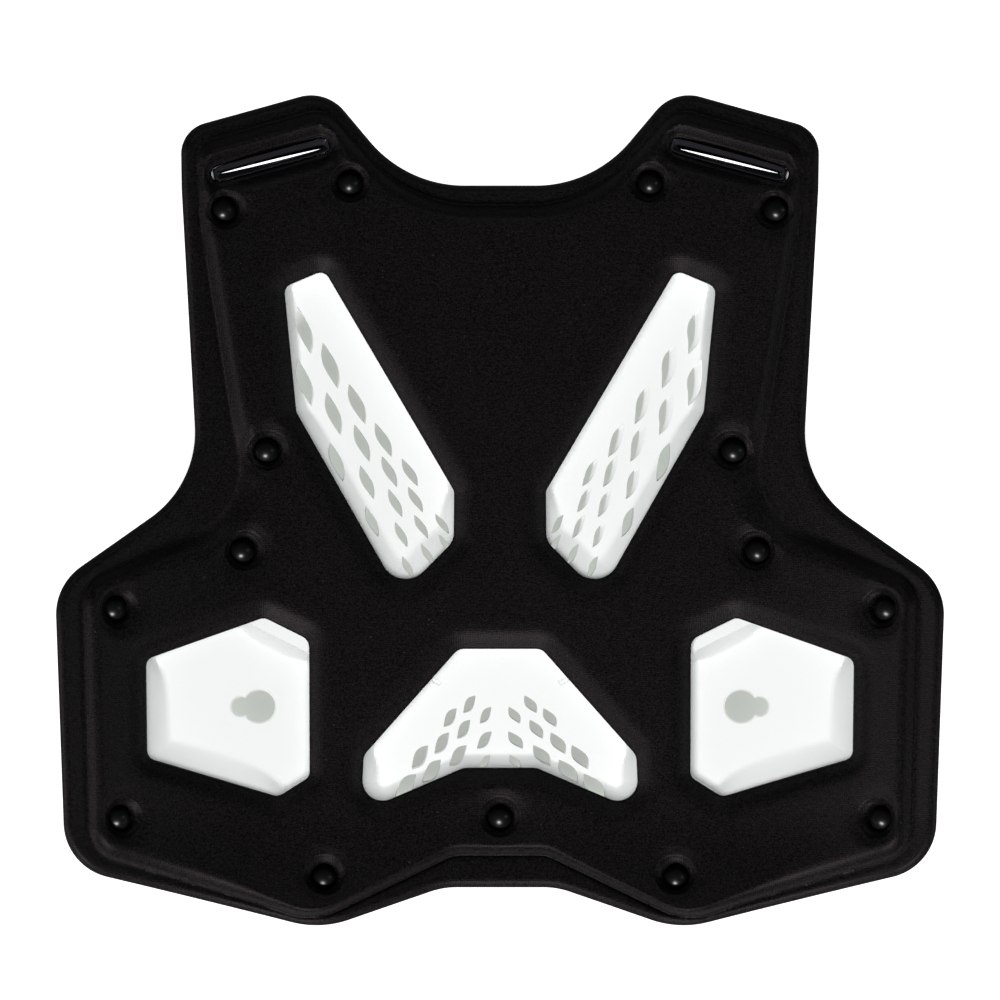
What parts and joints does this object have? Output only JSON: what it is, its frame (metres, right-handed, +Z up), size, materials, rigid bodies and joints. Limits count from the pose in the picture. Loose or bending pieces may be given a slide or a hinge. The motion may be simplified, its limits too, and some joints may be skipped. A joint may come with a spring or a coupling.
{
  "type": "motocross chest protector",
  "caption": "Front chest guard: a vented hard plastic shell with a moulded foam liner riveted to its body side, strap eyelets in the shoulders and keyholes for side straps.",
  "frame": {"origin": "on the surface that it lies on, under the middle of its box", "axes": "+Z up through the body side, +Y towards the neck, +X to the right when looking at the body side"},
  "size_m": [0.3708, 0.3487, 0.0606],
  "materials": {
    "shell": "white, satin",
    "liner": "black knit on moulded foam",
    "rivet": "black, glossy",
    "eyelet": "slate black, smooth"
  },
  "bodies": {
    "root": {"shell": "shell", "liner": "liner", "strap_eyelet_left": "eyelet", "strap_eyelet_right": "eyelet", "rivet_centre": "rivet", "rivet_shoulder_outer_left": "rivet", "rivet_shoulder_outer_right": "rivet", "rivet_shoulder_inner_left": "rivet", "rivet_shoulder_inner_right": "rivet", "rivet_breast_left": "rivet", "rivet_breast_right": "rivet", "rivet_armhole_left": "rivet", "rivet_armhole_right": "rivet", "rivet_wing_top_left": "rivet", "rivet_wing_top_right": "rivet", "rivet_wing_bottom_left": "rivet", "rivet_wing_bottom_right": "rivet", "rivet_hem_left": "rivet", "rivet_hem_right": "rivet"}
  },
  "joints": []
}
